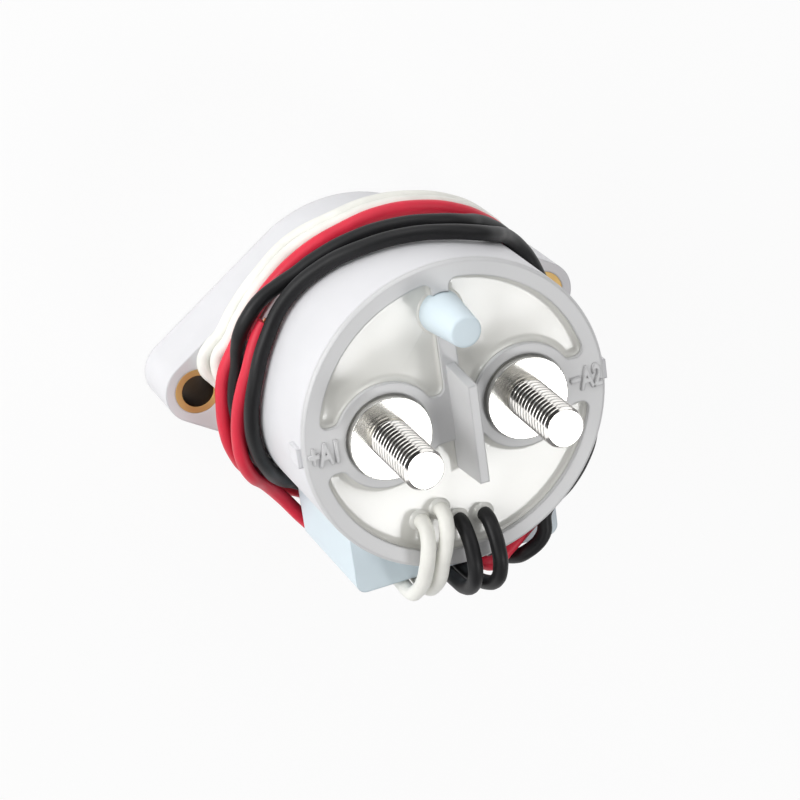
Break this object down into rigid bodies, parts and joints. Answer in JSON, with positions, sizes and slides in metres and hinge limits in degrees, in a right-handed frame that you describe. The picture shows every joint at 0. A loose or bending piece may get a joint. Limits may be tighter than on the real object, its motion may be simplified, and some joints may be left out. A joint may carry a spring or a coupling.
{
  "type": "high voltage dc contactor",
  "caption": "Sealed round contactor with a lobed mounting flange, threaded power studs, a coil-driver side box and flying leads wound round the case; its plunger closes a bridge contact.",
  "frame": {"origin": "centre of the flat mounting face, on the axis of the round case", "axes": "+Z points from the mounting face to the studs, +X runs from the positive stud to the negative stud and along the two mounting holes, and the side box with the loops of the leads is at -Y"},
  "size_m": [0.086, 0.0768, 0.0723],
  "materials": {
    "case_plastic": "satin",
    "cover_plastic": "satin",
    "resin": "gloss",
    "plated_copper": "polished",
    "stud_steel": "satin",
    "copper": "satin",
    "brass": "satin",
    "blue_plastic": "satin",
    "board": "satin",
    "black_plastic": "matte",
    "ceramic": "satin",
    "magnet": "satin",
    "silver_alloy": "satin",
    "spring_steel": "satin",
    "iron": "satin",
    "bobbin_plastic": "matte",
    "white_insulation": "matte",
    "black_insulation": "matte",
    "red_insulation": "matte"
  },
  "bodies": {
    "housing": {"case": "case_plastic", "mounting_bushings": "brass", "terminal_cover": "cover_plastic", "potting": "resin", "positive_terminal": "plated_copper", "negative_terminal": "plated_copper", "terminal_studs": "stud_steel", "fill_tube": "copper", "fill_tube_cap": "blue_plastic", "economizer_box": "blue_plastic", "economizer_board": "board", "board_components": "black_plastic", "ceramic_header": "ceramic", "arc_chamber": "ceramic", "blowout_magnets": "magnet", "fixed_contact_tips": "silver_alloy", "fixed_core": "iron", "pole_plate": "iron", "yoke": "iron", "core_tube": "stud_steel", "bobbin": "bobbin_plastic", "coil_winding": "copper", "aux_switch": "black_plastic", "return_spring": "spring_steel", "lead_white_1": "white_insulation", "lead_white_2": "white_insulation", "lead_black_1": "black_insulation", "lead_black_2": "black_insulation", "lead_red": "red_insulation"},
    "armature": {"plunger": "iron", "drive_shaft": "stud_steel", "shaft_clip": "spring_steel", "contact_spring": "spring_steel"},
    "bridge": {"contact_bridge": "copper", "moving_contact_tips": "silver_alloy"}
  },
  "joints": [
    {"name": "armature_slide", "type": "slide", "parent": "housing", "child": "armature", "axis": [0, 0, 1], "range_m": [0, 0.0014], "stiffness_N_per_m": 1500, "springref_m": -0.004, "deforming": ["return_spring"]},
    {"name": "bridge_wipe", "type": "slide", "parent": "armature", "child": "bridge", "axis": [0, 0, 1], "range_m": [-0.0005, 0], "stiffness_N_per_m": 12000, "springref_m": 0.0015, "deforming": ["contact_spring"]}
  ]
}
